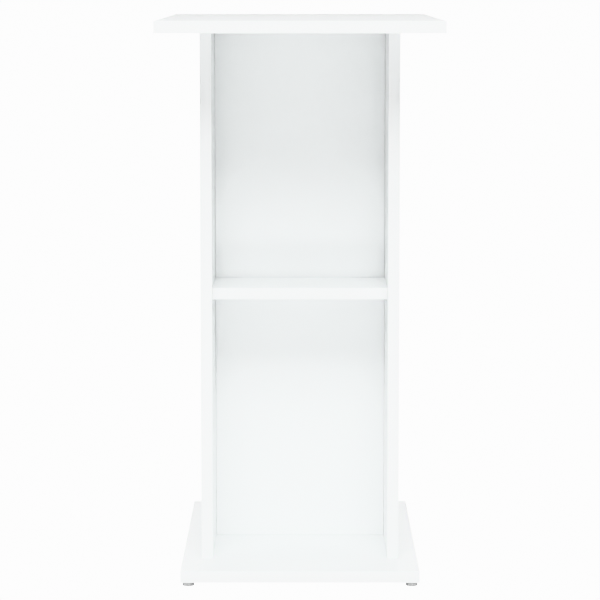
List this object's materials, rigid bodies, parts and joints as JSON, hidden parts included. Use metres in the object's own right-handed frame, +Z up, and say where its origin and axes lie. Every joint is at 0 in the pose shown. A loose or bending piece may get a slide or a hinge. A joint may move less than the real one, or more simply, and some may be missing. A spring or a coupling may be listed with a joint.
{
  "type": "aquarium stand",
  "caption": "White pedestal stand for an aquarium: overhanging top board, narrow open column with a centre panel and mid shelves, wide base board on round glides.",
  "frame": {"origin": "on the floor, under the middle of the stand", "axes": "+Z up; the front niches open towards -Y; +X to the right as seen from the front"},
  "size_m": [0.36, 0.605, 0.725],
  "materials": {
    "board": "satin white melamine face on particle board",
    "edge": "satin white edge strip",
    "glide": "smooth grey plastic",
    "dowel": "plain beech",
    "steel": "zinc plated",
    "zinc": "die-cast zinc alloy"
  },
  "bodies": {
    "root": {"top_panel": "board", "bottom_panel": "board", "left_side_panel": "board", "right_side_panel": "board", "centre_panel": "board", "front_shelf": "board", "rear_shelf": "board", "top_edge_band": "edge", "bottom_edge_band": "edge", "left_side_front_edge_band": "edge", "left_side_rear_edge_band": "edge", "right_side_front_edge_band": "edge", "right_side_rear_edge_band": "edge", "front_shelf_edge_band": "edge", "rear_shelf_edge_band": "edge", "front_left_foot": "glide", "front_right_foot": "glide", "rear_left_foot": "glide", "rear_right_foot": "glide", "left_top_dowel": "dowel", "centre_left_top_dowel": "dowel", "left_through_dowel": "dowel", "front_left_shelf_dowel": "dowel", "rear_left_shelf_dowel": "dowel", "right_top_dowel": "dowel", "centre_right_top_dowel": "dowel", "right_through_dowel": "dowel", "front_right_shelf_dowel": "dowel", "rear_right_shelf_dowel": "dowel", "left_upper_screw": "steel", "left_lower_screw": "steel", "front_left_shelf_screw": "steel", "front_left_base_screw": "steel", "rear_left_shelf_screw": "steel", "rear_left_base_screw": "steel", "centre_left_base_screw": "steel", "right_upper_screw": "steel", "right_lower_screw": "steel", "front_right_shelf_screw": "steel", "front_right_base_screw": "steel", "rear_right_shelf_screw": "steel", "rear_right_base_screw": "steel", "centre_right_base_screw": "steel", "left_upper_screw_cap": "edge", "left_lower_screw_cap": "edge", "front_left_shelf_screw_cap": "edge", "rear_left_shelf_screw_cap": "edge", "right_upper_screw_cap": "edge", "right_lower_screw_cap": "edge", "front_right_shelf_screw_cap": "edge", "rear_right_shelf_screw_cap": "edge", "front_left_cam_bolt": "steel", "front_left_cam_disc": "zinc", "front_right_cam_bolt": "steel", "front_right_cam_disc": "zinc", "rear_left_cam_bolt": "steel", "rear_left_cam_disc": "zinc", "rear_right_cam_bolt": "steel", "rear_right_cam_disc": "zinc"}
  },
  "joints": []
}
